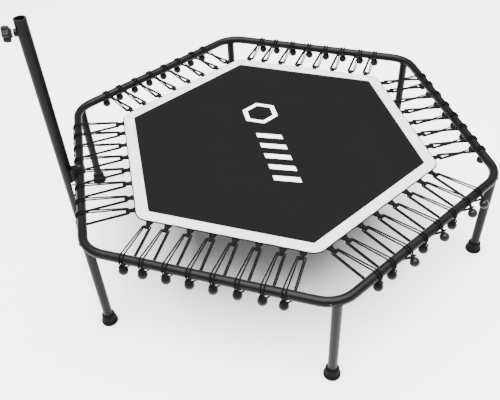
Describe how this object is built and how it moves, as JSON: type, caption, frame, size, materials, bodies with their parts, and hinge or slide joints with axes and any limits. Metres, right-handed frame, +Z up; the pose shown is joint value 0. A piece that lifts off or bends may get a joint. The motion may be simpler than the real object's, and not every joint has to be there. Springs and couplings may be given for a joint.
{
  "type": "mini trampoline",
  "caption": "Hexagonal fitness trampoline: steel ring on legs, bungee-hung mat with a pale sewn border, and a clamped telescopic handle post.",
  "frame": {"origin": "on the floor, under the centre of the whole object's box", "axes": "+Z up; +Y across the corners of the hexagon; the handle post stands outside the side on -X"},
  "size_m": [1.2335, 1.3172, 0.765],
  "materials": {
    "powder_coated_steel": "satin black powder coat",
    "zinc_steel": "bright zinc plated",
    "foot_rubber": "moulded matt black rubber",
    "mat_fabric": "woven black polypropylene",
    "border_fabric": "woven white polyester edge band",
    "webbing": "woven black polyester webbing",
    "bungee_cord": "braided black cover on a rubber core",
    "ball_plastic": "moulded satin black",
    "bush_plastic": "moulded black",
    "knob_plastic": "moulded black"
  },
  "bodies": {
    "frame": {"frame_side_ab": "powder_coated_steel", "frame_side_bc": "powder_coated_steel", "frame_side_cd": "powder_coated_steel", "frame_side_de": "powder_coated_steel", "frame_side_ef": "powder_coated_steel", "frame_side_fa": "powder_coated_steel", "frame_corner_a": "powder_coated_steel", "frame_corner_b": "powder_coated_steel", "frame_corner_c": "powder_coated_steel", "frame_corner_d": "powder_coated_steel", "frame_corner_e": "powder_coated_steel", "frame_corner_f": "powder_coated_steel", "lock_screws": "zinc_steel", "leg_a": "powder_coated_steel", "leg_b": "powder_coated_steel", "leg_c": "powder_coated_steel", "leg_d": "powder_coated_steel", "leg_e": "powder_coated_steel", "leg_f": "powder_coated_steel", "foot_a": "foot_rubber", "foot_b": "foot_rubber", "foot_c": "foot_rubber", "foot_d": "foot_rubber", "foot_e": "foot_rubber", "foot_f": "foot_rubber", "bungee_cords_ab": "bungee_cord", "bungee_cords_bc": "bungee_cord", "bungee_cords_cd": "bungee_cord", "bungee_cords_de": "bungee_cord", "bungee_cords_ef": "bungee_cord", "bungee_cords_fa": "bungee_cord", "bungee_balls_ab": "ball_plastic", "bungee_balls_bc": "ball_plastic", "bungee_balls_cd": "ball_plastic", "bungee_balls_de": "ball_plastic", "bungee_balls_ef": "ball_plastic", "bungee_balls_fa": "ball_plastic", "post_tube": "powder_coated_steel", "post_bracket": "powder_coated_steel", "bracket_screw": "zinc_steel", "post_stay": "powder_coated_steel", "post_bush": "bush_plastic", "clamp_boss": "powder_coated_steel"},
    "mat": {"mat": "mat_fabric", "mat_border": "border_fabric", "webbing_ab": "webbing", "webbing_bc": "webbing", "webbing_cd": "webbing", "webbing_de": "webbing", "webbing_ef": "webbing", "webbing_fa": "webbing"},
    "handle": {"handle_tube": "powder_coated_steel"},
    "clamp": {"clamp_pad": "bush_plastic"},
    "knob": {"knob": "knob_plastic", "clamp_screw": "zinc_steel"}
  },
  "joints": [
    {"name": "mat_bounce", "type": "slide", "parent": "frame", "child": "mat", "axis": [0, 0, -1], "range_m": [0, 0.15], "stiffness_N_per_m": 6000, "springref_m": -0.002, "deforming": ["bungee_cords_ab", "bungee_cords_bc", "bungee_cords_cd", "bungee_cords_de", "bungee_cords_ef", "bungee_cords_fa"]},
    {"name": "handle_slide", "type": "slide", "parent": "frame", "child": "handle", "axis": [0, 0, 1], "range_m": [0, 0.2]},
    {"name": "pad_slide", "type": "slide", "parent": "frame", "child": "clamp", "axis": [-1, 0, 0], "range_m": [0, 0.0025]},
    {"name": "knob_turn", "type": "hinge", "parent": "clamp", "child": "knob", "pos_m": [-0.56778, 0, 0.731], "axis": [-1, 0, 0], "range_deg": [0, 720]}
  ],
  "couplings": [
    {"joint": "pad_slide", "follows": "knob_turn", "m_per_rad": 0.00019894}
  ]
}
